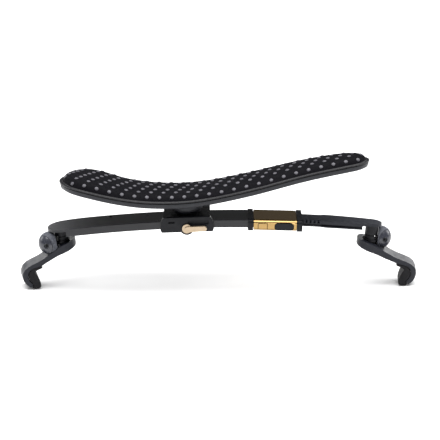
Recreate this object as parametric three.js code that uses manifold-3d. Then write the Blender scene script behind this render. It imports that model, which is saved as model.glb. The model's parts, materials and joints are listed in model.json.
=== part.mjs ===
// Shoulder rest for a violin or viola, in millimetres, +Z up, +X along the bar, -Y towards the player's view.
import * as THREE from 'three';
import { mergeVertices } from 'three/addons/utils/BufferGeometryUtils.js';
import Module from 'manifold-3d';

const wasm = await Module();
wasm.setup();

// ---- driving dimensions ----
const GAP = 0.3;              // clearance between separate pieces
const ARC_RADIUS = 845;       // the bar's top follows one large arc
const ARC_X = 9.6;            // where that arc is highest
const BAR_TOP = 42.6;         // height of the bar's top there, above the claws' feet
const BAR_HALF = 10;          // half the bar's width
const BAR_DEEP = 4.4;         // bar thickness
const TONGUE_DEEP = 1.5;      // thin end of the bar over a stem
const LEFT_TIP = -103.6;
const RIGHT_TIP = 97.2;
const TONGUE_LONG = 12;
const LEFT_STEM_X = -96.4;
const RIGHT_STEM_X = 91.7;
const LEFT_YAW = 14;          // degrees that each foot is swung towards -Y
const RIGHT_YAW = 4;
const LEAN = 0.254;           // degrees that everything is turned about Y so that both claws stand level
const LEFT_LIFT = 2;          // how much higher the left foot is set on its stem than the right one
const SLEEVE = [20.1, 45.6];  // the gold sleeve's ends along X
const COLLAR_LONG = 3.1;
const SADDLE_X = -19.6;
const STEM_R = 3.9;
const PLUNGER_AT = new THREE.Vector3(0, 0, -9.2);
const OUTWARD = new THREE.Vector3(1, 0, 0);
const SHAFT_R = 2.2;
const FINE = 32;              // segments on large rounds
const COARSE = 16;            // segments on small rounds

const UP = new THREE.Vector3(0, 0, 1);

// ---- solids ----
function solid(geometry) {
  const bare = geometry.clone();
  bare.deleteAttribute('normal');
  bare.deleteAttribute('uv');
  const merged = mergeVertices(bare, 1e-4);
  const mesh = new wasm.Mesh({
    numProp: 3,
    vertProperties: new Float32Array(merged.attributes.position.array),
    triVerts: new Uint32Array(merged.index.array),
  });
  return new wasm.Manifold(mesh);
}

function geometryOf(manifold) {
  const mesh = manifold.getMesh();
  const geometry = new THREE.BufferGeometry();
  geometry.setAttribute('position', new THREE.BufferAttribute(mesh.vertProperties, 3));
  geometry.setIndex(new THREE.BufferAttribute(mesh.triVerts, 1));
  geometry.computeVertexNormals();
  return geometry;
}

function box(x, y, z) {
  const geometry = new THREE.BoxGeometry(x[1] - x[0], y[1] - y[0], z[1] - z[0]);
  geometry.translate((x[0] + x[1]) / 2, (y[0] + y[1]) / 2, (z[0] + z[1]) / 2);
  return solid(geometry);
}

function extrude(shape, depth, curveSegments) {
  return new THREE.ExtrudeGeometry(shape, { depth, bevelEnabled: false, curveSegments });
}

// A shape drawn in (y, z), extruded along X.
function prismX(shape, x, segments = 4) {
  const turn = new THREE.Matrix4().makeBasis(
    new THREE.Vector3(0, 1, 0), new THREE.Vector3(0, 0, 1), new THREE.Vector3(1, 0, 0));
  return solid(extrude(shape, x[1] - x[0], segments).applyMatrix4(turn).translate(x[0], 0, 0));
}

// A shape drawn in (x, z), extruded along Y.
function prismY(shape, y, segments = 4) {
  const turn = new THREE.Matrix4().makeBasis(
    new THREE.Vector3(1, 0, 0), new THREE.Vector3(0, 0, 1), new THREE.Vector3(0, -1, 0));
  return solid(extrude(shape, y[1] - y[0], segments).applyMatrix4(turn).translate(0, y[1], 0));
}

// A shape drawn in (x, y), extruded along Z.
function prismZ(shape, z, segments = 4) {
  return solid(extrude(shape, z[1] - z[0], segments).translate(0, 0, z[0]));
}

function roundRect(x, y, r) {
  const shape = new THREE.Shape();
  shape.absarc(x[1] - r, y[0] + r, r, -Math.PI / 2, 0);
  shape.absarc(x[1] - r, y[1] - r, r, 0, Math.PI / 2);
  shape.absarc(x[0] + r, y[1] - r, r, Math.PI / 2, Math.PI);
  shape.absarc(x[0] + r, y[0] + r, r, Math.PI, 1.5 * Math.PI);
  return shape;
}

// A solid of revolution about +Z from [radius, height] points that start and end on the axis.
function turned(points, segments = COARSE) {
  const profile = points.map(([r, z]) => new THREE.Vector2(r, z));
  return solid(new THREE.LatheGeometry(profile, segments).rotateX(Math.PI / 2));
}

function rod(r, z, segments = COARSE) {
  return turned([[0, z[0]], [r, z[0]], [r, z[1]], [0, z[1]]], segments);
}

// A ring about +Z between two radii.
function ring(inner, outer, z, segments = COARSE) {
  const profile = [[inner, z[0]], [outer, z[0]], [outer, z[1]], [inner, z[1]], [inner, z[0]]];
  return turned(profile, segments);
}

function polygon(points) {
  return new THREE.Shape(points.map(([a, b]) => new THREE.Vector2(a, b)));
}

// Lays a solid made about +Z along another direction, through a point.
function aim(manifold, direction, at) {
  const turn = new THREE.Quaternion().setFromUnitVectors(UP, direction.clone().normalize());
  const place = new THREE.Matrix4().compose(at, turn, new THREE.Vector3(1, 1, 1));
  return manifold.transform(place.elements);
}

// ---- the arc that the bar follows ----
const tilt = (x) => Math.asin((x - ARC_X) / ARC_RADIUS);
const arcHeight = (x, depth = 0) =>
  BAR_TOP - ARC_RADIUS + Math.sqrt((ARC_RADIUS - depth) ** 2 - (x - ARC_X) ** 2);

// A curved slab between two depths under the bar's top.
function arcSlab(x, y, depth) {
  const steps = Math.max(4, Math.ceil((x[1] - x[0]) / 6));
  const rim = [];
  for (let i = 0; i <= steps; i++) {
    const at = x[0] + (x[1] - x[0]) * i / steps;
    rim.push([at, arcHeight(at, depth[1])]);
  }
  for (let i = steps; i >= 0; i--) {
    const at = x[0] + (x[1] - x[0]) * i / steps;
    rim.push([at, arcHeight(at, depth[0])]);
  }
  return prismY(polygon(rim), y);
}

// A group whose own frame sits on the bar's top at x, with +Z square to the bar.
function onArc(x) {
  const group = new THREE.Group();
  group.position.set(x, 0, arcHeight(x));
  group.rotation.y = tilt(x);
  return group;
}

// ---- materials ----
const material = (color, roughness, metalness) =>
  new THREE.MeshStandardMaterial({ color, roughness, metalness });
const BLACK_BAR = material(0x15161a, 0.25, 0.3);
const BLACK_PLASTIC = material(0x26282c, 0.5, 0);
const GREY_PLASTIC = material(0x35373c, 0.55, 0);
const RUBBER = material(0x1b1c1e, 0.85, 0);
const GOLD = material(0xd2a766, 0.28, 1);
const CHAMPAGNE = material(0xe2c49c, 0.3, 1);
const STEEL = material(0x8f9297, 0.35, 1);
const BRASS = material(0xb08d4a, 0.35, 1);
const FOAM = material(0x17161a, 0.8, 0);

function add(parent, name, manifold, look) {
  const mesh = new THREE.Mesh(geometryOf(manifold), look);
  mesh.name = name;
  parent.add(mesh);
}

// ---- bar, sleeve and extension ----
const CAVITY = { x: [-24, 25], half: 6, depth: [0.85, 3.6] };
const RACK = { x: [27.6, 60], half: 5.6, depth: [0.3, 4.2], pitch: 2.4, notch: 1 };
const RAIL = { x: [-8, 38], depth: [1.15, 3.3] };
const PEG = { x: -66, y: 7.2, r: 0.9 };

function leftEnd() {
  const shape = new THREE.Shape();
  const r = 9;
  shape.moveTo(-80, -BAR_HALF);
  shape.quadraticCurveTo(-90, -BAR_HALF, LEFT_TIP + r, -r);
  shape.absarc(LEFT_TIP + r, 0, r, -Math.PI / 2, Math.PI / 2, true);
  shape.quadraticCurveTo(-90, BAR_HALF, -80, BAR_HALF);
  shape.lineTo(60, BAR_HALF);
  shape.lineTo(60, -BAR_HALF);
  return shape;
}

function mainBar() {
  const end = SLEEVE[0] - GAP - COLLAR_LONG + 1;
  const thick = arcSlab([LEFT_TIP + TONGUE_LONG, end], [-BAR_HALF, BAR_HALF], [0, BAR_DEEP]);
  const tongue = arcSlab([LEFT_TIP, LEFT_TIP + TONGUE_LONG + 2], [-BAR_HALF, BAR_HALF], [0, TONGUE_DEEP]);
  const spigot = arcSlab([end - 1, CAVITY.x[1]], [-9.2, 9.2], [0.6, BAR_DEEP]);
  const cavity = arcSlab(
    [CAVITY.x[0], CAVITY.x[1] + 1], [-CAVITY.half, CAVITY.half], CAVITY.depth);
  const pegHole = rod(PEG.r + GAP, [arcHeight(PEG.x) - 1.6, arcHeight(PEG.x) + 1]).translate(PEG.x, PEG.y, 0);
  return thick.add(tongue).intersect(prismZ(leftEnd(), [0, 60], 10)).add(spigot)
    .subtract(cavity).subtract(pegHole);
}

function rightPlan() {
  const shape = new THREE.Shape();
  const r = 5.2;
  shape.moveTo(60, -5.6);
  shape.quadraticCurveTo(62, -6.5, 64.5, -6.5);
  shape.quadraticCurveTo(80, -6, RIGHT_TIP - r, -r);
  shape.absarc(RIGHT_TIP - r, 0, r, -Math.PI / 2, Math.PI / 2);
  shape.quadraticCurveTo(80, 6, 64.5, 6.5);
  shape.quadraticCurveTo(62, 6.5, 60, 5.6);
  shape.lineTo(-30, 5.6);
  shape.lineTo(-30, -5.6);
  return shape;
}

function extensionArm() {
  const root = RIGHT_TIP - TONGUE_LONG;
  const thick = arcSlab([RAIL.x[1], root], [-7, 7], RACK.depth);
  const tongue = arcSlab([root - 2, RIGHT_TIP], [-7, 7], [RACK.depth[0], RACK.depth[0] + TONGUE_DEEP]);
  const rail = arcSlab([RAIL.x[0], RAIL.x[1] + 2], [-5.6, 5.6], RAIL.depth);
  let arm = thick.add(tongue).add(rail).intersect(prismZ(rightPlan(), [0, 60], 8));
  for (let x = RACK.x[0]; x <= RACK.x[1] - 1; x += RACK.pitch) {
    const half = 0.8;
    const tooth = polygon([
      [x - half, -RACK.half - 0.2], [x + half, -RACK.half - 0.2], [x, -RACK.half + RACK.notch]]);
    const floor = arcHeight(x) - 2.1;
    arm = arm.subtract(prismZ(tooth, [floor, floor + 4]));
  }
  for (const side of [-1, 1]) {
    const y = [side * 8, side * 4.7].sort((a, b) => a - b);
    arm = arm.subtract(arcSlab([44, root + 1], y, [2.2, 3.5]));
  }
  const pinHole = rod(0.9, [30, 50]).translate(RAIL.x[0] + 4, 0, 0);
  return arm.subtract(pinHole);
}

const SLEEVE_MID = (SLEEVE[0] + SLEEVE[1]) / 2;
const BUTTON = { x: [-0.1, 10.9], z: [-5.7, -1.3], r: 1.9 };
const PAWL_PIN = { x: 4, y: -6.95, r: 0.5 };

function sleeve() {
  const half = (SLEEVE[1] - SLEEVE[0]) / 2;
  const outer = prismX(roundRect([-10.9, 10.9], [-6.3, 0.5], 2.3), [-half, half]);
  const inner = prismX(roundRect([-9.9, 9.9], [-5.4, -0.25], 1.2), [-half - 1, half + 1]);
  const window_ = prismY(roundRect(
    [BUTTON.x[0] - GAP, BUTTON.x[1] + GAP], [BUTTON.z[0] - 0.1, BUTTON.z[1] + GAP], BUTTON.r), [-12, -8.3]);
  const tab = [-10.3, -4.5];
  const cuts = [
    box([tab[0], tab[1]], [-12, -9.5], [-1.7, -1.35]),
    box([tab[0], tab[0] + 0.35], [-12, -9.5], [-5.3, -1.35]),
    box([tab[1] - 0.35, tab[1]], [-12, -9.5], [-5.3, -1.35]),
  ];
  return cuts.reduce((body, cut) => body.subtract(cut), outer.subtract(inner).subtract(window_));
}

function collar(x, hole) {
  const outer = prismX(roundRect([-11.3, 11.3], [-6.7, 0.8], 2.4), x);
  return outer.subtract(prismX(hole, [x[0] - 1, x[1] + 1]));
}

function pushButton() {
  const face = prismY(roundRect(BUTTON.x, [BUTTON.z[0] + 0.2, BUTTON.z[1]], BUTTON.r - 0.2), [-11.2, -9.5]);
  const flange = prismY(roundRect(
    [BUTTON.x[0] - 1, BUTTON.x[1] + 1], [-4.7, -0.9], 1), [-9.6, -9.2]);
  const nub = box([8, 9.4], [-9.2, -8.2], [-4, -2.6]);
  return face.add(flange).add(nub);
}

function pawl() {
  const plate = box([2, 9.8], [-7.8, -6.9], [-4.1, -1.4]).add(box([-1.3, 3], [-7.4, -6.9], [-4.1, -1.4]));
  const tooth = prismZ(polygon([[-1.2, -7], [0.4, -7], [-0.4, -5.95]]), [-4.1, -1.4]);
  const boss = rod(0.95, [-4.1, -1.4]).translate(PAWL_PIN.x, PAWL_PIN.y, 0);
  const bore = rod(PAWL_PIN.r + 0.15, [-6, 0]).translate(PAWL_PIN.x, PAWL_PIN.y, 0);
  return plate.add(tooth).add(boss).subtract(bore);
}

function addBar(root) {
  add(root, 'main_bar', mainBar(), BLACK_BAR);
  add(root, 'stop_screw', rod(PEG.r, [-1.2, 0.5]).translate(PEG.x, PEG.y, arcHeight(PEG.x)), STEEL);
  add(root, 'extension_arm', extensionArm(), GREY_PLASTIC);
  const stopX = RAIL.x[0] + 4;
  const stop = rod(0.6, [arcHeight(stopX, 3.1), arcHeight(stopX, 1.35)]).translate(stopX, 0, 0);
  add(root, 'rail_stop_pin', stop, STEEL);

  const frame = onArc(SLEEVE_MID);
  root.add(frame);
  const half = (SLEEVE[1] - SLEEVE[0]) / 2;
  const barHole = roundRect([-10.3, 10.3], [-4.85, 0.25], 0.4);
  const armHole = roundRect([-5.95, 5.95], [-4.75, 0.1], 0.3);
  add(frame, 'gold_sleeve', sleeve(), GOLD);
  add(frame, 'left_collar', collar([-half - GAP - COLLAR_LONG, -half - GAP], barHole), BLACK_PLASTIC);
  add(frame, 'right_collar', collar([half + GAP, half + GAP + COLLAR_LONG], armHole), BLACK_PLASTIC);
  add(frame, 'push_button', pushButton(), BLACK_PLASTIC);
  add(frame, 'latch_pawl', pawl(), STEEL);
  const pin = rod(PAWL_PIN.r, [-5.1, -0.5]).translate(PAWL_PIN.x, PAWL_PIN.y, 0);
  add(frame, 'pawl_pin', pin, STEEL);
  const spring = ring(0.65, 1, [-1.25, -0.6]).translate(PAWL_PIN.x, PAWL_PIN.y, 0);
  add(frame, 'pawl_spring', spring, STEEL);
}

// ---- saddle, lever and swivel, in the frame of the bar's top at SADDLE_X ----
const CAM = { x: -0.15, z: -3.4 };

function saddleHousing() {
  const wrap = prismX(roundRect([-12.4, 12], [-5.8, 3.4], 0.8), [-14, 13.6], 4);
  const face = new THREE.Shape();
  face.moveTo(-15, -5.8);
  face.lineTo(15, -5.8);
  face.lineTo(15.8, -4.4);
  face.quadraticCurveTo(15.4, 2.6, 13.8, 3.2);
  face.lineTo(-13.8, 3.2);
  face.quadraticCurveTo(-15.4, 2.6, -15.8, -4.4);
  const plate = prismY(face, [-13, -10.35], 6);
  const bulge = rod(4.2, [0, 2.65], FINE).rotate([90, 0, 0]).translate(CAM.x, -10.35, CAM.z);
  const finger = prismY(roundRect([0.5, 13], [-1.4, 1.4], 1.2), [-14, -12]);
  const slot = prismY(roundRect([-11, -7.2], [-0.2, 0.8], 0.45), [-14, -11.6]);
  const pinHole = rod(2.3, [0, 4], COARSE).rotate([90, 0, 0]).translate(CAM.x, -10.2, CAM.z);
  const shoeWell = box([-5, 5], [-12.1, 3.6], [-7.4, -4.3]).add(box([-3, 3], [-12.1, -10.2], [-7.8, -0.7]));
  const barWay = box([-20, 20], [-10.35, 10.35], [-4.75, 0.35]);
  const screwHole = rod(2.2, [-1, 5]);
  const nutTrap = rod(3.7, [-1, 1.9], 6);
  return wrap.add(plate).add(bulge).subtract(barWay).subtract(finger).subtract(slot).subtract(pinHole)
    .subtract(shoeWell).subtract(screwHole).subtract(nutTrap);
}

function camLever() {
  const disc = rod(2.8, [0, 1.1], FINE).rotate([90, 0, 0]).translate(CAM.x, -13.25, CAM.z);
  const arm = new THREE.Shape();
  arm.absarc(CAM.x + 0.5, CAM.z - 0.2, 1.7, Math.PI / 2, 1.5 * Math.PI);
  arm.lineTo(10.4, CAM.z - 1.5);
  arm.quadraticCurveTo(11.4, CAM.z - 1.3, 11.8, CAM.z - 0.2);
  arm.quadraticCurveTo(11.4, CAM.z + 1.3, 10.2, CAM.z + 1.5);
  return disc.add(prismY(arm, [-15.25, -13.5], 6));
}

function clampShoe() {
  const leg = box([-2.6, 2.6], [-11.8, -10.75], [-7.3, -1]);
  const foot = box([-4.6, 4.6], [-11.8, 3.2], [-5.6, -4.7]);
  const slot = rod(1.9, [0, 3]).rotate([90, 0, 0]).translate(CAM.x, -9.8, CAM.z);
  return leg.add(foot).subtract(slot);
}

function camPin() {
  const shank = rod(1.1, [0, 1.25]).rotate([90, 0, 0]).translate(CAM.x, -11.85, CAM.z);
  const lobe = rod(1.2, [0, 1.3]).rotate([90, 0, 0]).translate(CAM.x, -10.6, CAM.z + 0.35);
  return shank.add(lobe);
}

function swivelDisc() {
  const profile = [[0, 4.45], [6.8, 4.45], [9.4, 5.2], [10, 6.6], [10, 9.6], [0, 9.6]];
  const screwWell = rod(3.7, [6.3, 12]);
  let body = turned(profile, FINE).subtract(rod(2.2, [3, 12])).subtract(screwWell);
  for (const angle of DISC_SCREWS) {
    const at = [6.6 * Math.cos(angle), 6.6 * Math.sin(angle), 0];
    body = body.subtract(rod(1.1, [3, 12], 16).translate(at)).subtract(rod(1.9, [3, 6.6], 16).translate(at));
  }
  return body;
}

const DISC_SCREWS = [90, 210, 330].map((degrees) => THREE.MathUtils.degToRad(degrees));

function addSaddle(root) {
  const frame = onArc(SADDLE_X);
  root.add(frame);
  add(frame, 'saddle_housing', saddleHousing(), BLACK_PLASTIC);
  add(frame, 'cam_lever', camLever(), CHAMPAGNE);
  add(frame, 'cam_pin', camPin(), STEEL);
  add(frame, 'brake_shoe', clampShoe(), GREY_PLASTIC);
  add(frame, 'swivel_nut', rod(3.3, [0.35, 1.6], 6).subtract(rod(2.1, [0, 3])), BRASS);
  add(frame, 'friction_washer', ring(2.4, 8, [3.7, 4.15], FINE), GREY_PLASTIC);
  add(frame, 'swivel_disc', swivelDisc(), BLACK_PLASTIC);
  const pivot = rod(1.8, [0.5, 7]).add(rod(3.4, [6.6, 8.4])).subtract(rod(1.4, [7.4, 9], 6));
  add(frame, 'pivot_screw', pivot, STEEL);
  DISC_SCREWS.forEach((angle, i) => {
    const screw = rod(1.6, [5.3, 6.3], 16).add(rod(0.8, [6.2, 11.2], 16));
    const placed = screw.translate(6.6 * Math.cos(angle), 6.6 * Math.sin(angle), 0);
    add(frame, `shell_screw_${i + 1}`, placed, STEEL);
  });
}

// ---- pad ----
const PAD_LINE = [[-96, 64.5], [-78, 62.9], [-55, 57.6], [-34, 55.7], [-12, 56.8], [18, 63], [48, 70.8],
  [72, 75.6], [89, 77.4]].map(([x, z]) => new THREE.Vector2(x, z));
const PAD_EDGE = [[-95.9, 0], [-91.5, 11.5], [-78, 19.6], [-52, 18.8], [-20, 17], [20, 16], [50, 14],
  [74, 11.6], [85, 7.4], [88.8, 0]];
const SHELL_DEEP = [0.9, 4.3];   // the shell's top and bottom under the pad's rim line
const FOAM_UP = 4.2;
const LOBE_UP = 0.9;              // extra foam height over the left lobe, between these two x
const LOBE_X = [-74, -54];

function padBand(low, high, lobe = 0) {
  const line = new THREE.SplineCurve(PAD_LINE).getSpacedPoints(28);
  const under = line.map((p) => [p.x, p.y + low]);
  const rise = (x) => lobe * (1 - THREE.MathUtils.smoothstep(x, LOBE_X[0], LOBE_X[1]));
  const over = line.map((p) => [p.x, p.y + high + rise(p.x)]).reverse();
  return prismY(polygon(under.concat(over)), [-25, 25]);
}

function padPlan(inset) {
  const half = PAD_EDGE.map(([x, y]) => new THREE.Vector3(x, y, 0));
  const other = PAD_EDGE.slice(1, -1).reverse().map(([x, y]) => new THREE.Vector3(x, -y, 0));
  const loop = new THREE.CatmullRomCurve3(half.concat(other), true).getPoints(60);
  const middle = -3.5;
  const length = 92.4;
  const shrink = (p) => [middle + (p.x - middle) * (1 - inset / length), p.y * (1 - inset / 16)];
  return polygon(loop.slice(0, -1).map(shrink).reverse());
}

function addPad(root) {
  const shellBody = padBand(-SHELL_DEEP[1], -SHELL_DEEP[0]).intersect(prismZ(padPlan(0.6), [40, 90]));
  const frame = onArc(SADDLE_X);
  frame.updateMatrix();
  const holes = DISC_SCREWS.map((angle) => rod(1.1, [3, 13], 16)
    .translate(6.6 * Math.cos(angle), 6.6 * Math.sin(angle), 0).transform(frame.matrix.elements));
  const seat = rod(10.3, [3, 9.9], FINE).transform(frame.matrix.elements);
  const shell = holes.reduce((body, hole) => body.subtract(hole), shellBody.subtract(seat));
  add(root, 'pad_shell', shell, BLACK_PLASTIC);
  const foam = padBand(-SHELL_DEEP[0] + GAP, FOAM_UP, LOBE_UP).intersect(prismZ(padPlan(0), [40, 95]));
  add(root, 'pad_cushion', foam, FOAM);
}

// ---- feet: a foot is drawn with +X outboard and +Z up along its stem, 0 at the bar's top ----
const HUB_R = 7;
const LEFT_HUB = new THREE.Vector3(7.6, 1.85, -10.9);
const RIGHT_HUB = new THREE.Vector3(5.7, 2.9, -10.1);
const LEFT_TRIM = 2.4;           // the left foot's outboard half stands this much nearer its stem
const ARM_HALF = 6;
const CLAW_HALF = 6.5;

function footPlan(half, trim) {
  const shape = new THREE.Shape();
  const r = 8.2;
  const lean = Math.asin((r - half) / 12);
  shape.absarc(0, 0, r, Math.PI / 2 - lean, 1.5 * Math.PI + lean);
  shape.lineTo(12, -half);
  shape.lineTo(26 - trim, -half);
  shape.quadraticCurveTo(30.4 - trim, -half, 30.4 - trim, -half + 3.4);
  shape.lineTo(30.4 - trim, half - 3.4);
  shape.quadraticCurveTo(30.4 - trim, half, 26 - trim, half);
  shape.lineTo(12, half);
  return shape;
}

function armSide(trim) {
  const shape = new THREE.Shape();
  shape.moveTo(-8.3, -10.2);
  shape.quadraticCurveTo(-2, -11, 3.1, -13.2);
  shape.lineTo(12.5 - trim / 2, -17.7);
  shape.quadraticCurveTo(17 - trim, -19.8, 22 - trim, -20.9);
  shape.quadraticCurveTo(29.9 - trim, -22.8, 29.9 - trim, -28.6);
  shape.quadraticCurveTo(29.6 - trim, -33, 25.6 - trim, -35.4);
  shape.lineTo(24.4 - trim, -33.6);
  shape.quadraticCurveTo(27.6 - trim, -30.4, 26.4 - trim, -26.8);
  shape.quadraticCurveTo(25.4 - trim, -24, 22 - trim, -23.6);
  shape.quadraticCurveTo(19 - trim, -23.4, 16.4 - trim, -22.6);
  shape.lineTo(10.1 - trim / 2, -20.6 + trim / 6);
  shape.quadraticCurveTo(6.5, -19, 3.6, -17.9);
  shape.lineTo(-6.8, -15);
  shape.lineTo(-8.3, -14.2);
  return shape;
}

function clawSide() {
  const shape = new THREE.Shape();
  shape.moveTo(17, -23.2);
  shape.quadraticCurveTo(19.4, -23.8, 22.1, -23.9);
  shape.quadraticCurveTo(25, -24.3, 26.1, -27);
  shape.quadraticCurveTo(27.1, -30.3, 24, -33.6);
  shape.lineTo(25.2, -35.6);
  shape.quadraticCurveTo(23.8, -36.5, 22.6, -36.6);
  shape.lineTo(21.4, -36.6);
  shape.quadraticCurveTo(19.9, -36.4, 19.8, -35);
  shape.quadraticCurveTo(19.6, -30.4, 22.2, -26.5);
  shape.lineTo(21.2, -25.4);
  shape.lineTo(17.2, -24.3);
  return shape;
}

function footArm(trim) {
  const body = prismY(armSide(trim), [-9, 9]).intersect(prismZ(footPlan(ARM_HALF, trim), [-40, 0]));
  const bushWell = rod(4.9, [-12.2, 0], 28);
  const bore = rod(3.9, [-22, 0], 24);
  return body.subtract(bushWell).subtract(bore);
}

// lift is how much the foot on this stem is raised: the stem's lower end rises with it.
function stem(lift) {
  const points = [[0, -16.6 + lift], [SHAFT_R, -16.6 + lift]];
  const grooves = [-13.2, -11.2, -9.2].map((z) => z + lift);
  grooves.forEach((z) => points.push([SHAFT_R, z - 0.35], [SHAFT_R - 0.3, z], [SHAFT_R, z + 0.35]));
  points.push([SHAFT_R, -8 + lift], [STEM_R, -8 + lift], [STEM_R, -2.1], [0, -2.1]);
  return turned(points);
}

// The stippled inboard part of the hub and its smooth outboard cap share one ball, cut flat beside the stem.
function hub(side, at) {
  const sphere = new THREE.SphereGeometry(HUB_R, 24, 14).rotateX(Math.PI / 2);
  const ball = solid(sphere).translate(at.x, at.y, at.z);
  const rise = Math.atan2(17.7 - 13.2, 12.5 - 3.1);
  const overArm = box([-40, 40], [-20, 20], [0, 40]).rotate([0, THREE.MathUtils.radToDeg(rise), 0])
    .translate(3.1, 0, -13.2 + 0.4);
  const whole = ball.intersect(overArm).subtract(box([-10, STEM_R + GAP], [-20, 20], [-20, 0]))
    .subtract(rod(5.2, [-20, -10.1], 28));
  const out = new THREE.Vector3(0.76, -0.65 * side, 0).normalize();
  const faceAt = at.clone().addScaledVector(out, 4.1);
  const beyond = aim(rod(20, [0, 20]), out, faceAt);
  const bore = aim(rod(1.35, [0, 8.3]), OUTWARD, PLUNGER_AT);
  const screwAim = new THREE.Vector3(0.42, -0.9 * side, 0.05).normalize();
  const screwBore = aim(rod(1.15, [4.7, 9], 16), screwAim, at);
  const dimple = aim(rod(1.7, [6, 9]), screwAim, at);
  return {
    body: whole.subtract(aim(rod(20, [-GAP, 20]), out, faceAt)).subtract(bore).subtract(screwBore),
    cap: whole.intersect(beyond).subtract(bore).subtract(screwBore).subtract(dimple),
    screw: aim(rod(0.85, [5, 6.2], 16).subtract(rod(0.5, [5.6, 7], 6)), screwAim, at),
  };
}

// The notch in the bush lets the plunger swing with the foot.
function bush() {
  const notch = box([1.2, 6], [-3.1, 3.1], [-10.3, -8]);
  return ring(2.5, 4.6, [-11.9, -10.6], 28).add(ring(2.5, STEM_R, [-10.7, -8.3], 28)).subtract(notch);
}

function plunger() {
  const points = [[0, 2.6], [0.5, 2.7], [0.9, 3.2], [0.9, 5.2], [0, 5.2]];
  return aim(turned(points, 16), OUTWARD, PLUNGER_AT);
}

function addFoot(root, name, x, yaw, side, lift, hubAt, trim) {
  const seat = onArc(x);
  const foot = new THREE.Group();
  foot.position.z = lift;
  foot.rotation.z = side > 0 ? -THREE.MathUtils.degToRad(yaw) : Math.PI + THREE.MathUtils.degToRad(yaw);
  seat.add(foot);
  root.add(seat);
  const parts = hub(side, hubAt);
  add(seat, `${name}_stem`, stem(lift), BLACK_PLASTIC);
  add(foot, `${name}_bush`, bush(), GREY_PLASTIC);
  add(foot, `${name}_clip`, ring(2.45, 3.5, [-16.5, -15.9]), STEEL);
  add(foot, `${name}_foot_arm`, footArm(trim), GREY_PLASTIC);
  add(foot, `${name}_hub`, parts.body, GREY_PLASTIC);
  add(foot, `${name}_hub_cap`, parts.cap, GREY_PLASTIC);
  add(foot, `${name}_lock_screw`, parts.screw, STEEL);
  add(foot, `${name}_plunger`, plunger(), STEEL);
  const spring = aim(ring(0.6, 0.95, [5.5, 7.8], 16), OUTWARD, PLUNGER_AT);
  add(foot, `${name}_plunger_spring`, spring, STEEL);
  const claw = prismY(clawSide(), [-CLAW_HALF, CLAW_HALF]).translate(-trim, 0, 0);
  add(foot, `${name}_claw`, claw, RUBBER);
}

// ---- assembly, with the origin under the middle of the object ----
const rest = new THREE.Group();
addBar(rest);
addSaddle(rest);
addPad(rest);
addFoot(rest, 'left', LEFT_STEM_X, LEFT_YAW, -1, LEFT_LIFT, LEFT_HUB, LEFT_TRIM);
addFoot(rest, 'right', RIGHT_STEM_X, RIGHT_YAW, 1, 0, RIGHT_HUB, 0);
rest.rotation.y = THREE.MathUtils.degToRad(LEAN);

rest.updateMatrixWorld(true);
const bounds = new THREE.Box3().setFromObject(rest, true);
rest.position.set(-(bounds.min.x + bounds.max.x) / 2, -(bounds.min.y + bounds.max.y) / 2, -bounds.min.z);

const shoulderRest = new THREE.Group();
shoulderRest.add(rest);

export default shoulderRest;
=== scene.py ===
"""Looks for a shoulder rest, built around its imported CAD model, in metres and in the model's own frame."""

import json
import math

import bmesh
import bpy
from mathutils import Matrix, Vector
from mathutils.bvhtree import BVHTree


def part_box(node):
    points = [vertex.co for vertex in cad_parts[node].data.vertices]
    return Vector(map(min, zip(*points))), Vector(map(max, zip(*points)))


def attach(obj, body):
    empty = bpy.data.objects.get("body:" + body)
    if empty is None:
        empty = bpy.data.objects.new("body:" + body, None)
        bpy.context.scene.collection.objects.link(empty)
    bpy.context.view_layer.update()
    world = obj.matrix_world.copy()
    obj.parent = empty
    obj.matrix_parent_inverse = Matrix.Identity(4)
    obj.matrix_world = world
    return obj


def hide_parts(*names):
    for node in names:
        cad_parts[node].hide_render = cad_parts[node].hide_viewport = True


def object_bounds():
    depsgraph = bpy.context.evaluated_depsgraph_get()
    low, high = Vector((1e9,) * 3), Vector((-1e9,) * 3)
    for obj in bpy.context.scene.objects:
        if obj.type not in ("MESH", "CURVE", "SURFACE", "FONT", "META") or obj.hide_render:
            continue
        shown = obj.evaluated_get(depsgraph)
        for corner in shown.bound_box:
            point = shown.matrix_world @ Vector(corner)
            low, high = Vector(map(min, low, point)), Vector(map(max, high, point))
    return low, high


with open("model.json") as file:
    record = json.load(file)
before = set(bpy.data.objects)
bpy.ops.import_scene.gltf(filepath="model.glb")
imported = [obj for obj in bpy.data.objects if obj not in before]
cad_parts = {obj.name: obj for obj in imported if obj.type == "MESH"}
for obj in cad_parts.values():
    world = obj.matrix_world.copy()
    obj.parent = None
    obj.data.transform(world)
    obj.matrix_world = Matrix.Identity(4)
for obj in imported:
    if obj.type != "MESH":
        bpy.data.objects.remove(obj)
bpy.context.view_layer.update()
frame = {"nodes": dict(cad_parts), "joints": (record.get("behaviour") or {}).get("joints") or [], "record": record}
MM = 0.001
SHARP = math.radians(38)    # edges that turn more than this stay sharp when shaded
LEAN = math.radians(0.254)  # the object stands turned this much about Y from the level of its bar
NODES = frame["nodes"]
JOINTS = {joint["name"]: joint for joint in frame["joints"]}
RECORD = frame["record"]
BODY = {node: body for body, nodes in RECORD["behaviour"]["bodies"].items() for node in nodes}


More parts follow.
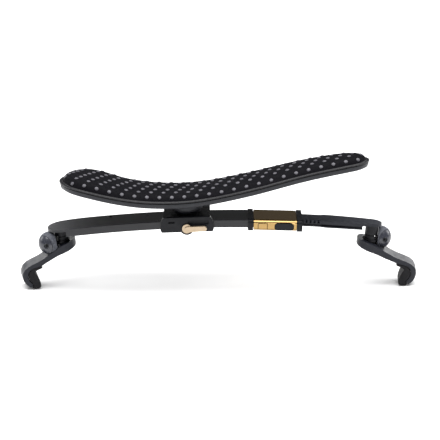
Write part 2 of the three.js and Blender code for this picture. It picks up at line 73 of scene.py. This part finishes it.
# ---- materials ----
class Shader:
    """One node material: a base colour that drifts a little, uneven gloss and a fine grain."""

    def __init__(self, name, colour, roughness, metallic=0.0):
        self.material = bpy.data.materials.new(name)
        self.material.use_nodes = True
        self.tree = self.material.node_tree
        self.shader = self.tree.nodes["Principled BSDF"]
        self.colour = colour
        self.shader.inputs["Base Color"].default_value = (*colour, 1)
        self.shader.inputs["Roughness"].default_value = roughness
        self.shader.inputs["Metallic"].default_value = metallic
        self.coords = self.add("ShaderNodeTexCoord").outputs["Object"]
        self.height = None

    def add(self, kind, **settings):
        node = self.tree.nodes.new(kind)
        for key, value in settings.items():
            setattr(node, key, value)
        return node

    def link(self, a, b):
        self.tree.links.new(a, b)

    def noise(self, scale, detail, stretch=(1, 1, 1)):
        mapping = self.add("ShaderNodeMapping")
        mapping.inputs["Scale"].default_value = stretch
        self.link(self.coords, mapping.inputs["Vector"])
        noise = self.add("ShaderNodeTexNoise")
        noise.inputs["Scale"].default_value = scale
        noise.inputs["Detail"].default_value = detail
        self.link(mapping.outputs["Vector"], noise.inputs["Vector"])
        return noise.outputs["Fac"]

    def spread(self, value, low, high):
        """Noise mostly lies between 0.3 and 0.7, and is spread from low to high."""
        remap = self.add("ShaderNodeMapRange")
        remap.inputs["From Min"].default_value = 0.3
        remap.inputs["From Max"].default_value = 0.7
        remap.inputs["To Min"].default_value = low
        remap.inputs["To Max"].default_value = high
        self.link(value, remap.inputs["Value"])
        return remap.outputs["Result"]

    def tint(self, scale, other):
        mix = self.add("ShaderNodeMix", data_type="RGBA")
        mix.inputs["A"].default_value = (*self.colour, 1)
        mix.inputs["B"].default_value = (*other, 1)
        self.link(self.spread(self.noise(scale, 3), 0, 1), mix.inputs["Factor"])
        self.link(mix.outputs["Result"], self.shader.inputs["Base Color"])
        return self

    def gloss(self, scale, low, high, stretch=(1, 1, 1)):
        self.link(self.spread(self.noise(scale, 3, stretch), low, high), self.shader.inputs["Roughness"])
        return self

    def bump(self, value, strength, distance):
        bump = self.add("ShaderNodeBump")
        bump.inputs["Strength"].default_value = strength
        bump.inputs["Distance"].default_value = distance
        self.link(value, bump.inputs["Height"])
        if self.height is not None:
            self.link(self.height, bump.inputs["Normal"])
        self.link(bump.outputs["Normal"], self.shader.inputs["Normal"])
        self.height = bump.outputs["Normal"]
        return self

    def grain(self, scale, strength, distance=0.00005, stretch=(1, 1, 1)):
        return self.bump(self.noise(scale, 2, stretch), strength, distance)

    def cells(self, scale, strength, distance):
        voronoi = self.add("ShaderNodeTexVoronoi")
        voronoi.inputs["Scale"].default_value = scale
        self.link(self.coords, voronoi.inputs["Vector"])
        return self.bump(voronoi.outputs["Distance"], strength, distance)

    def finish(self, specular):
        self.shader.inputs["Specular IOR Level"].default_value = specular
        return self.material


BAR = Shader("bar_gloss", (0.0042, 0.0046, 0.0072), 0.3).tint(60, (0.006, 0.0065, 0.0095))
BAR = BAR.gloss(90, 0.27, 0.34).grain(1400, 0.01).finish(0.45)
GREY = Shader("satin_grey", (0.0115, 0.0128, 0.0185), 0.4).tint(120, (0.015, 0.0165, 0.023))
GREY = GREY.gloss(400, 0.33, 0.47).grain(5200, 0.2).finish(0.25)
STIPPLE = Shader("stippled_grey", (0.1, 0.105, 0.125), 0.55).tint(900, (0.05, 0.053, 0.066))
STIPPLE = STIPPLE.gloss(500, 0.5, 0.65).cells(2600, 0.8, 0.00012).finish(0.3)
BLACK = Shader("satin_black", (0.007, 0.0074, 0.0095), 0.42).tint(150, (0.0095, 0.01, 0.0125))
BLACK = BLACK.gloss(500, 0.34, 0.5).grain(5600, 0.2).finish(0.2)
SHELL = Shader("shell_grey", (0.0165, 0.0172, 0.0215), 0.45).tint(110, (0.021, 0.022, 0.027))
SHELL = SHELL.gloss(420, 0.38, 0.52).grain(5200, 0.2).finish(0.3)
FOAM = Shader("foam_black", (0.0022, 0.0021, 0.0034), 0.7).tint(700, (0.0036, 0.0034, 0.005))
FOAM = FOAM.gloss(900, 0.55, 0.75).grain(2400, 0.5, 0.00015).cells(4200, 0.35, 0.0001).finish(0.06)
LIP = Shader("foam_lip", (0.006, 0.0058, 0.0078), 0.36).tint(500, (0.009, 0.0088, 0.011))
LIP = LIP.gloss(700, 0.3, 0.42).grain(3000, 0.2, 0.00008).finish(0.4)
# painted highlight: the nubs' light grey base colour stands in for the gloss highlights they catch from above
PAINTED_NUB_HIGHLIGHT = Shader("foam_nub_painted_highlight", (0.1, 0.098, 0.112), 0.4).tint(800, (0.07, 0.068, 0.08))
PAINTED_NUB_HIGHLIGHT = PAINTED_NUB_HIGHLIGHT.gloss(900, 0.32, 0.46).grain(3800, 0.2).finish(0.4)
RUBBER = Shader("claw_rubber", (0.009, 0.0088, 0.0098), 0.62).tint(260, (0.014, 0.0138, 0.015))
RUBBER = RUBBER.gloss(600, 0.55, 0.7).grain(4200, 0.4, 0.0001).finish(0.15)
GOLD = Shader("gold_sleeve", (0.36, 0.235, 0.092), 0.2, 1.0).tint(70, (0.39, 0.255, 0.105))
GOLD = GOLD.gloss(900, 0.16, 0.24, (0.06, 1, 1)).grain(2600, 0.02, 0.00003, (0.05, 1, 1)).finish(0.5)
CHAMPAGNE = Shader("champagne_lever", (0.44, 0.345, 0.24), 0.36, 0.8).tint(120, (0.48, 0.375, 0.265))
CHAMPAGNE = CHAMPAGNE.gloss(800, 0.28, 0.38).grain(3800, 0.08, 0.00003).finish(0.5)
STEEL = Shader("plain_steel", (0.42, 0.43, 0.45), 0.32, 1.0).tint(300, (0.35, 0.36, 0.38))
STEEL = STEEL.gloss(900, 0.26, 0.4, (1, 1, 0.1)).grain(3000, 0.1, 0.00003, (1, 1, 0.1)).finish(0.5)
SMOOTH = Shader("smooth_grey", (0.03, 0.032, 0.042), 0.26).tint(120, (0.036, 0.038, 0.05))
SMOOTH = SMOOTH.gloss(400, 0.22, 0.3).grain(5200, 0.05).finish(0.6)
# dark steel; on the plungers and their springs it is painted shade
DARK_STEEL_AND_SHADE = Shader("dark_steel_and_painted_shade", (0.06, 0.06, 0.065), 0.38, 0.9).tint(300, (0.09, 0.09, 0.095))
DARK_STEEL_AND_SHADE = DARK_STEEL_AND_SHADE.gloss(900, 0.3, 0.45).grain(3000, 0.1, 0.00003).finish(0.5)
BRASS = Shader("turned_brass", (0.55, 0.38, 0.14), 0.34, 1.0).tint(300, (0.6, 0.43, 0.18))
BRASS = BRASS.gloss(900, 0.28, 0.42).grain(3000, 0.1, 0.00003).finish(0.5)


# ---- pieces ----
def new_piece(name, mesh, body, look, *stands_for):
    piece = bpy.data.objects.new(name, mesh)
    bpy.context.scene.collection.objects.link(piece)
    mesh.materials.clear()
    mesh.materials.append(look)
    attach(piece, body)
    if stands_for:
        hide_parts(*stands_for)
    return piece


def settle(piece):
    """Replaces a piece's mesh by what its modifiers make of it."""
    bpy.context.view_layer.update()
    made = bpy.data.meshes.new_from_object(piece.evaluated_get(bpy.context.evaluated_depsgraph_get()))
    piece.modifiers.clear()
    piece.data = made
    return piece


def soften(piece, width):
    """Rounds a piece's edges by the given width, and shades it smooth between the sharp ones."""
    bevel = piece.modifiers.new("edges", "BEVEL")
    bevel.width = width
    bevel.segments = 2
    bevel.limit_method = "ANGLE"
    bevel.angle_limit = math.radians(30)
    bevel.use_clamp_overlap = True
    bevel.harden_normals = False
    settle(piece)
    piece.data.shade_smooth()
    piece.data.set_sharp_from_angle(angle=SHARP)
    flat = piece.modifiers.new("flat faces stay flat", "WEIGHTED_NORMAL")
    flat.keep_sharp = True
    return settle(piece)


def clean_mesh(node):
    """The CAD node's mesh with its coplanar triangles joined into flat faces."""
    bm = bmesh.new()
    bm.from_mesh(NODES[node].data)
    bmesh.ops.remove_doubles(bm, verts=bm.verts, dist=3e-6)
    bmesh.ops.dissolve_limit(bm, angle_limit=math.radians(0.15), verts=bm.verts, edges=bm.edges)
    mesh = bpy.data.meshes.new(node + "_fine")
    bm.to_mesh(mesh)
    bm.free()
    return mesh


def refine(node, width, look):
    piece = new_piece(node + "_fine", clean_mesh(node), BODY[node], look, node)
    return soften(piece, width)


def carry_over(node, look):
    """A CAD node that stays as it is, with its own material."""
    shown = NODES[node]
    shown.data.materials.clear()
    shown.data.materials.append(look)


for node, width, look in (
    ("main_bar", 0.45 * MM, BAR),
    ("extension_arm", 0.3 * MM, GREY),
    ("left_collar", 0.4 * MM, BLACK),
    ("right_collar", 0.4 * MM, BLACK),
    ("push_button", 0.25 * MM, BLACK),
    ("saddle_housing", 0.3 * MM, BLACK),
    ("cam_lever", 0.3 * MM, CHAMPAGNE),
    ("swivel_disc", 0.3 * MM, SHELL),
    ("left_stem", 0.2 * MM, BLACK),
    ("right_stem", 0.2 * MM, BLACK),
    ("left_bush", 0.15 * MM, BLACK),
    ("right_bush", 0.15 * MM, BLACK),
    ("left_foot_arm", 0.7 * MM, GREY),
    ("right_foot_arm", 0.7 * MM, GREY),
    ("left_hub", 0.15 * MM, STIPPLE),
    ("right_hub", 0.15 * MM, STIPPLE),
    ("left_hub_cap", 0.15 * MM, SMOOTH),
    ("right_hub_cap", 0.15 * MM, SMOOTH),
    ("left_claw", 0.5 * MM, RUBBER),
    ("right_claw", 0.5 * MM, RUBBER),
):
    refine(node, width, look)


def shoulders(piece, half, start, sag):
    """Rounds the two long top edges of a sleeve down from the given share of its half width."""
    bm = bmesh.new()
    bm.from_mesh(piece.data)
    for step in range(5):
        share = start + (1 - start) * step / 5
        for side in (-1, 1):
            bmesh.ops.bisect_plane(bm, geom=bm.verts[:] + bm.edges[:] + bm.faces[:],
                                   plane_co=(0, side * share * half, 0), plane_no=(0, 1, 0))
    top = max(v.co.z for v in bm.verts)
    for v in bm.verts:
        share = abs(v.co.y) / half
        if share > start and v.co.z > top - 1.6 * MM:
            v.co.z -= sag * ((share - start) / (1 - start)) ** 2
    bm.to_mesh(piece.data)
    bm.free()


sleeve = new_piece("gold_sleeve_fine", clean_mesh("gold_sleeve"), BODY["gold_sleeve"], GOLD, "gold_sleeve")
SLEEVE_HALF, SLEEVE_SAG = 10.9 * MM, 0.5 * MM
shoulders(sleeve, SLEEVE_HALF, 0.8, SLEEVE_SAG)
soften(sleeve, 0.1 * MM)

for node in ("pawl_spring", "latch_pawl", "pawl_pin", "rail_stop_pin", "cam_pin", "pivot_screw",
             "shell_screw_1", "shell_screw_2", "shell_screw_3", "left_clip", "right_clip"):
    carry_over(node, STEEL)
# painted shade: the plungers and their springs are darkened to stand in for the shade under the foot tongues,
# where plain steel would glint; the stop screw shares this dark steel
for node in ("stop_screw", "left_plunger", "right_plunger", "left_plunger_spring", "right_plunger_spring"):
    carry_over(node, DARK_STEEL_AND_SHADE)
# painted shade: the lock screws are coloured black so that the deep socket holes they sit in read as dark as shade
for node in ("left_lock_screw", "right_lock_screw"):
    carry_over(node, BLACK)
for node in ("brake_shoe", "friction_washer"):
    carry_over(node, GREY)
carry_over("swivel_nut", BRASS)


# ---- pad ----
class Ruler:
    """Reads the pad's heights and half widths off a CAD node."""

    def __init__(self, node):
        self.tree = BVHTree.FromObject(NODES[node], bpy.context.evaluated_depsgraph_get())
        self.low, self.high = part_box(node)

    def top(self, x):
        hit = self.tree.ray_cast(Vector((x, 0.0004, self.high.z + 1)), Vector((0, 0, -1)))[0]
        return hit.z if hit else None

    def half(self, x, z):
        hit = self.tree.ray_cast(Vector((x, 1, z)), Vector((0, -1, 0)))[0]
        return hit.y if hit else 0.0


def table_of(points):
    """Straight-line lookup in a list of (x, value)."""
    def look_up(x):
        if x <= points[0][0]:
            return points[0][1]
        for (x0, v0), (x1, v1) in zip(points, points[1:]):
            if x <= x1:
                return v0 + (v1 - v0) * (x - x0) / (x1 - x0)
        return points[-1][1]
    return look_up


def smooth(values, rounds):
    for _ in range(rounds):
        values = [values[0]] + [
            (a + 2 * b + c) / 4 for a, b, c in zip(values, values[1:], values[2:])] + [values[-1]]
    return values


foam = Ruler("pad_cushion")
X0, X1 = foam.low.x, foam.high.x
CELLS = 120
xs = [X0 + (X1 - X0) * (i + 0.5) / CELLS for i in range(CELLS)]
tops = smooth([foam.top(x) for x in xs], 6)
FOAM_TOP = table_of(list(zip(xs, tops)))
FOAM_DEEP = 4.2 * MM      # the rim line lies this far under the foam solid's top
LOBE_UP = 0.9 * MM        # the foam is this much deeper over the left lobe
LOBE_X = (X0 + 22 * MM, X0 + 42 * MM)


def lobe(x):
    share = min(1.0, max(0.0, (LOBE_X[1] - x) / (LOBE_X[1] - LOBE_X[0])))
    return LOBE_UP * share * share * (3 - 2 * share)


def rim(x):
    return FOAM_TOP(x) - lobe(x) - FOAM_DEEP


halves = smooth([foam.half(x, FOAM_TOP(x) - 2 * MM) for x in xs], 3)

# The outline turns round each end; the rings inside it close on a straight spine.
outline = [(X0, 0.0)]
for i, x in enumerate(xs):
    if i % 2 == 0 or i < 8 or i > CELLS - 9:
        outline.append((x, halves[i]))
outline.append((X1, 0.0))
outline = outline + [(x, -y) for x, y in outline[-2:0:-1]]
SPINE = (X0 + 17 * MM, X1 - 10 * MM)


def inset_point(point, distance):
    x, y = point
    sx = min(max(x, SPINE[0]), SPINE[1])
    reach = math.hypot(sx - x, y)
    share = min(1.0, distance / reach)
    return x + (sx - x) * share, y * (1 - share), reach


def ringed(name, profile):
    """A closed body from rings, from the middle of the underside round the edge to the middle of the top.

    The profile's rows are (distance in from the outline, height over the rim line). A distance of None is the
    spine.
    """
    bm = bmesh.new()
    rings = []
    for distance, height in profile:
        ring = []
        for point in outline:
            x, y, reach = inset_point(point, 1.0 if distance is None else distance)
            lift = height(min(distance or 1.0, reach), reach, x) if callable(height) else height
            ring.append(bm.verts.new((x, y, rim(x) + lift)))
        rings.append(ring)
    count = len(outline)
    for low, high in zip(rings, rings[1:]):
        for i in range(count):
            j = (i + 1) % count
            bm.faces.new((low[i], low[j], high[j], high[i]))
    bmesh.ops.remove_doubles(bm, verts=bm.verts, dist=2e-5)
    bmesh.ops.dissolve_degenerate(bm, edges=bm.edges, dist=1e-6)
    bmesh.ops.recalc_face_normals(bm, faces=bm.faces)
    mesh = bpy.data.meshes.new(name)
    bm.to_mesh(mesh)
    bm.free()
    return mesh


def dome(distance, reach, x):
    """Foam height over the rim: a quick rise at the edge, then a long low crown."""
    rise = min(1.0, max(0.0, (distance - 1.7 * MM) / (5.5 * MM)))
    crown = min(1.0, distance / max(reach, 1e-6))
    edge = 1 - (1 - rise) ** 2.6
    return (0.1 + 3.4 * edge + 0.6 * (1 - (1 - crown) ** 2)) * MM + lobe(x) * edge


foam_profile = [(None, -0.5 * MM), (4 * MM, -0.5 * MM), (0.8 * MM, -0.55 * MM), (0.25 * MM, -0.5 * MM),
                (0.02 * MM, -0.15 * MM), (0.1 * MM, 0.25 * MM), (0.45 * MM, 0.45 * MM), (1.2 * MM, 0.42 * MM),
                (1.5 * MM, 0.2 * MM), (1.7 * MM, 0.15 * MM)]
foam_profile += [(d * MM, dome) for d in (1.85, 2.1, 2.5, 3, 3.6, 4.4, 5.4, 6.6, 8, 10, 12.5, 15.5)]
foam_profile += [(None, dome)]
cushion = new_piece("cushion_foam", ringed("cushion_foam", foam_profile), "pad", FOAM, "pad_cushion")


def puff(piece, cap):
    """Lets the foam's skin swell a little as cloth under pressure. The lip and the underside stay put."""
    unpuffed = [v.co.copy() for v in piece.data.vertices]
    pin = piece.vertex_groups.new(name="held")
    held = []
    for v in piece.data.vertices:
        if v.co.z - rim(v.co.x) < 1.2 * MM:
            held.append(v.index)
    pin.add(held, 1.0, "REPLACE")
    cloth = piece.modifiers.new("cloth", "CLOTH")
    cloth.settings.vertex_group_mass = "held"
    cloth.settings.use_pressure = True
    cloth.settings.uniform_pressure_force = 4
    cloth.settings.effector_weights.gravity = 0
    cloth.settings.quality = 6
    cloth.settings.mass = 0.2
    cloth.settings.tension_stiffness = 12
    cloth.settings.compression_stiffness = 12
    cloth.settings.bending_stiffness = 0.6
    for step in range(1, 21):
        bpy.context.scene.frame_set(step)
    made = bpy.data.meshes.new_from_object(piece.evaluated_get(bpy.context.evaluated_depsgraph_get()))
    piece.modifiers.clear()
    piece.vertex_groups.clear()
    for v, moved, before in zip(piece.data.vertices, made.vertices, unpuffed):
        step = moved.co - before
        if step.length > cap:
            step = step.normalized() * cap
        v.co = before + step
    bpy.context.scene.frame_set(1)


puff(cushion, 0.5 * MM)
cushion.data.materials.append(LIP)
for face in cushion.data.polygons:
    centre = face.center
    if centre.z - rim(centre.x) < 0.5 * MM:
        face.material_index = 1
subdivide = cushion.modifiers.new("smooth", "SUBSURF")
subdivide.levels = subdivide.render_levels = 1
settle(cushion)
cushion.data.shade_smooth()

# nubs in staggered rows, each a low dome standing on the foam with its foot sunk into it
NUB_R, NUB_UP, NUB_SUNK = 1.15 * MM, 0.42 * MM, 0.25 * MM
NUB_PITCH, NUB_ROW, NUB_MARGIN = 7.3 * MM, 4.5 * MM, 3.5 * MM
HALF = table_of(list(zip(xs, halves)))


def nub_spots():
    """Rows run parallel to the -Y edge, each about a third of a pitch on from the one before."""
    spots = []
    for row in range(9):
        x = X0 + (0.26 + 0.31 * row) % 1 * NUB_PITCH
        while x < X1:
            y = row * NUB_ROW + NUB_MARGIN - HALF(x)
            edge = min(math.hypot(x - px, y - py) for px, py in outline)
            if abs(y) < HALF(x) and edge > 0.75 * NUB_MARGIN:
                spots.append((x, y))
            x += NUB_PITCH
    return spots


def nub_mesh():
    tree = BVHTree.FromObject(cushion, bpy.context.evaluated_depsgraph_get())
    bm = bmesh.new()
    sides, rings = 14, 4

    def loop(at, turn, r, up):
        angles = [math.tau * i / sides for i in range(sides)]
        return [bm.verts.new(at + turn @ Vector((r * math.cos(a), r * math.sin(a), up))) for a in angles]

    for x, y in nub_spots():
        at, normal, _, _ = tree.ray_cast(Vector((x, y, 1)), Vector((0, 0, -1)))
        if at is None:
            continue
        turn = normal.to_track_quat("Z", "Y").to_matrix()
        loops = [loop(at, turn, NUB_R, -NUB_SUNK)]
        for ring in range(rings):
            angle = math.radians(8 + 82 * ring / rings)
            loops.append(loop(at, turn, NUB_R * math.cos(angle) ** 0.8, NUB_UP * math.sin(angle)))
        tip = bm.verts.new(at + turn @ Vector((0, 0, NUB_UP)))
        for low, high in zip(loops, loops[1:]):
            for i in range(sides):
                j = (i + 1) % sides
                bm.faces.new((low[i], low[j], high[j], high[i]))
        for i in range(sides):
            bm.faces.new((loops[-1][i], loops[-1][(i + 1) % sides], tip))
        bm.faces.new(loops[0][::-1])
    mesh = bpy.data.meshes.new("cushion_nubs")
    bm.to_mesh(mesh)
    bm.free()
    mesh.shade_smooth()
    return mesh


nubs = new_piece("cushion_nubs", nub_mesh(), "pad", PAINTED_NUB_HIGHLIGHT)

# the shell under the foam: a shallow tray with a rounded underside, seated on the swivel disc
shell_profile = [(None, -4.3 * MM), (6 * MM, -4.3 * MM), (3.2 * MM, -4.28 * MM), (1.9 * MM, -4.05 * MM),
                 (1.2 * MM, -3.6 * MM), (0.85 * MM, -2.9 * MM), (0.68 * MM, -1.9 * MM),
                 (0.65 * MM, -1.1 * MM), (0.8 * MM, -0.92 * MM), (1.6 * MM, -0.9 * MM), (None, -0.9 * MM)]
shell = new_piece("shell_tray", ringed("shell_tray", shell_profile), "pad", SHELL, "pad_shell")
SEAT_R, SEAT_DEEP, SEAT_UP = 10.3 * MM, 6.9 * MM, 6.45 * MM     # the room cut for the disc in the shell
swivel = JOINTS["pad_swivel"]
up = Vector(swivel["axis"])
cutter_mesh = bpy.data.meshes.new("seat")
bm = bmesh.new()
bmesh.ops.create_cone(bm, cap_ends=True, segments=64, radius1=SEAT_R, radius2=SEAT_R, depth=SEAT_DEEP)
bm.to_mesh(cutter_mesh)
bm.free()
cutter = bpy.data.objects.new("seat", cutter_mesh)
bpy.context.scene.collection.objects.link(cutter)
cutter.matrix_world = Matrix.Translation(Vector(swivel["pos_m"]) + up * SEAT_UP) @ up.to_track_quat(
    "Z", "Y").to_matrix().to_4x4()
cut = shell.modifiers.new("seat", "BOOLEAN")
cut.object = cutter
cut.operation = "DIFFERENCE"
cut.solver = "EXACT"
settle(shell)
bpy.data.objects.remove(cutter)
shell.data.shade_smooth()
shell.data.set_sharp_from_angle(angle=SHARP)


# ---- stage, camera, light ----
floor_mesh = bpy.data.meshes.new("floor")
bm = bmesh.new()
bmesh.ops.create_grid(bm, x_segments=1, y_segments=1, size=3)
bm.to_mesh(floor_mesh)
bm.free()
floor = bpy.data.objects.new("floor", floor_mesh)
bpy.context.scene.collection.objects.link(floor)
floor.location.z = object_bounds()[0][2] - 0.02 * MM      # just clear of the claws
paper = bpy.data.materials.new("floor_paper")
paper.use_nodes = True
paper.node_tree.nodes["Principled BSDF"].inputs["Base Color"].default_value = (0.93, 0.93, 0.93, 1)
paper.node_tree.nodes["Principled BSDF"].inputs["Roughness"].default_value = 0.9
floor_mesh.materials.append(paper)

scene = bpy.context.scene
scene.view_settings.view_transform = "Standard"
world = bpy.data.worlds.new("studio")
world.use_nodes = True
world.node_tree.nodes["Background"].inputs["Color"].default_value = (1, 1, 1, 1)
world.node_tree.nodes["Background"].inputs["Strength"].default_value = 0.12
scene.world = world


def softbox(name, place, target, size, power):
    light = bpy.data.lights.new(name, "AREA")
    light.shape = "RECTANGLE"
    light.size, light.size_y = size
    light.energy = power
    lamp = bpy.data.objects.new(name, light)
    scene.collection.objects.link(lamp)
    lamp.location = place
    lamp.rotation_euler = (Vector(target) - Vector(place)).to_track_quat("-Z", "Y").to_euler()


MIDDLE = Vector((0.00099, 0, 0.03996))
softbox("overhead", (0.0, -0.05, 1.1), MIDDLE, (1.8, 1.3), 36)
softbox("left_side", (-1.1, 0.35, 0.42), MIDDLE, (0.5, 0.5), 3)
softbox("right_side", (1.1, 0.35, 0.42), MIDDLE, (0.5, 0.5), 4)
softbox("left_back", (-0.6, 1.2, 0.22), MIDDLE, (0.5, 0.36), 2)
softbox("right_back", (0.62, 1.2, 0.22), MIDDLE, (0.5, 0.36), 2)

camera_data = bpy.data.cameras.new("view")
camera_data.lens = 122.7            # mm
camera_data.sensor_width = 36       # mm
camera_data.dof.use_dof = False
camera = bpy.data.objects.new("view", camera_data)
scene.collection.objects.link(camera)
DISTANCE = 0.9
elevation = math.radians(19)
away = Vector((0, -math.cos(elevation), math.sin(elevation))) * DISTANCE
level = (-away).to_track_quat("-Z", "Y").to_matrix().to_4x4()
leaning = Matrix.Translation(MIDDLE) @ Matrix.Rotation(LEAN, 4, "Y")
camera.matrix_world = leaning @ Matrix.Translation(away) @ level
scene.camera = camera
